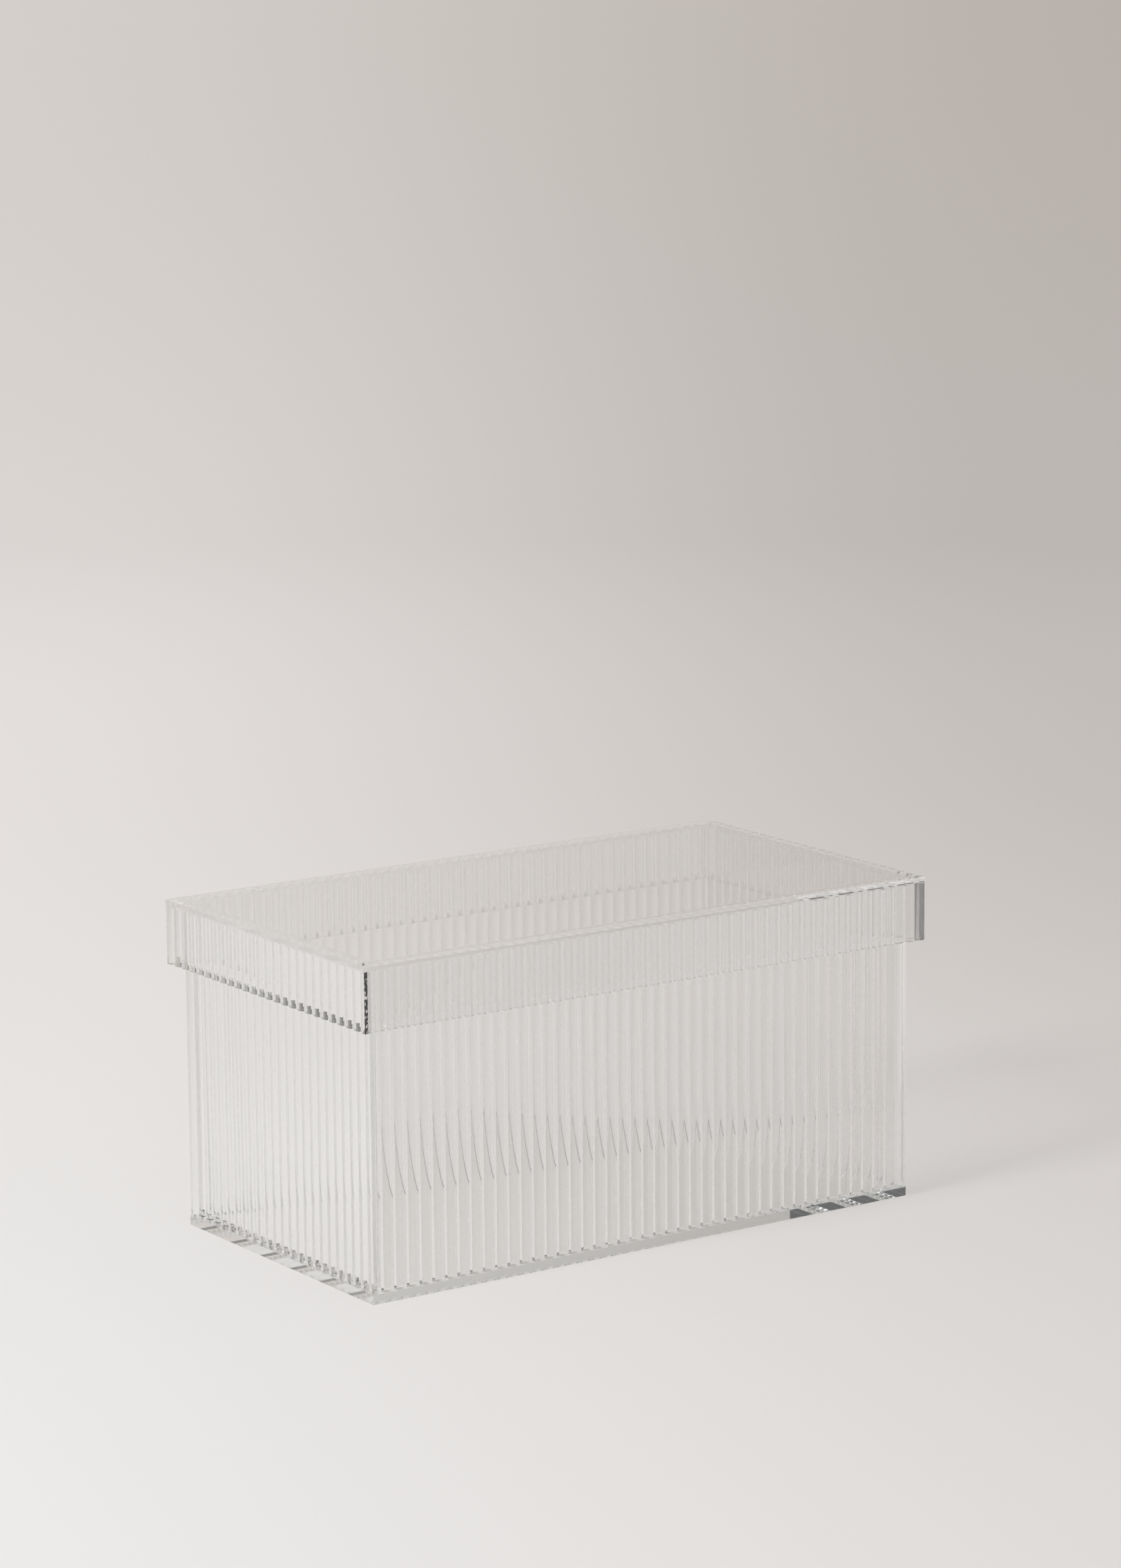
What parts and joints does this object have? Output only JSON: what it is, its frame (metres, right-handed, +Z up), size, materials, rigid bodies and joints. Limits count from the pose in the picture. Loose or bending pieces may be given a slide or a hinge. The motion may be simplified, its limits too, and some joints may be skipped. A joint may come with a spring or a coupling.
{
  "type": "storage box",
  "caption": "Rectangular clear acrylic storage box: upright reeded walls cemented on a flat base plate, under a lift-off lid with reeded skirts.",
  "frame": {"origin": "middle of the base plate's underside, on the surface that the box stands on", "axes": "+X along the long side, +Y from the front wall to the back wall, +Z up, the way the lid lifts off"},
  "size_m": [0.3014, 0.1654, 0.1503],
  "materials": {
    "clear_plate": "polished clear cast acrylic sheet",
    "clear_reeded_sheet": "polished clear acrylic sheet with upright convex reeds on its outer face"
  },
  "bodies": {
    "box_body": {"base_plate": "clear_plate", "front_wall": "clear_reeded_sheet", "back_wall": "clear_reeded_sheet", "left_wall": "clear_reeded_sheet", "right_wall": "clear_reeded_sheet"},
    "lid": {"lid_top": "clear_plate", "lid_front_skirt": "clear_reeded_sheet", "lid_back_skirt": "clear_reeded_sheet", "lid_left_skirt": "clear_reeded_sheet", "lid_right_skirt": "clear_reeded_sheet"}
  },
  "joints": [
    {"name": "lid_lift", "type": "slide", "parent": "box_body", "child": "lid", "axis": [0, 0, 1], "range_m": [0, 0.12]}
  ]
}
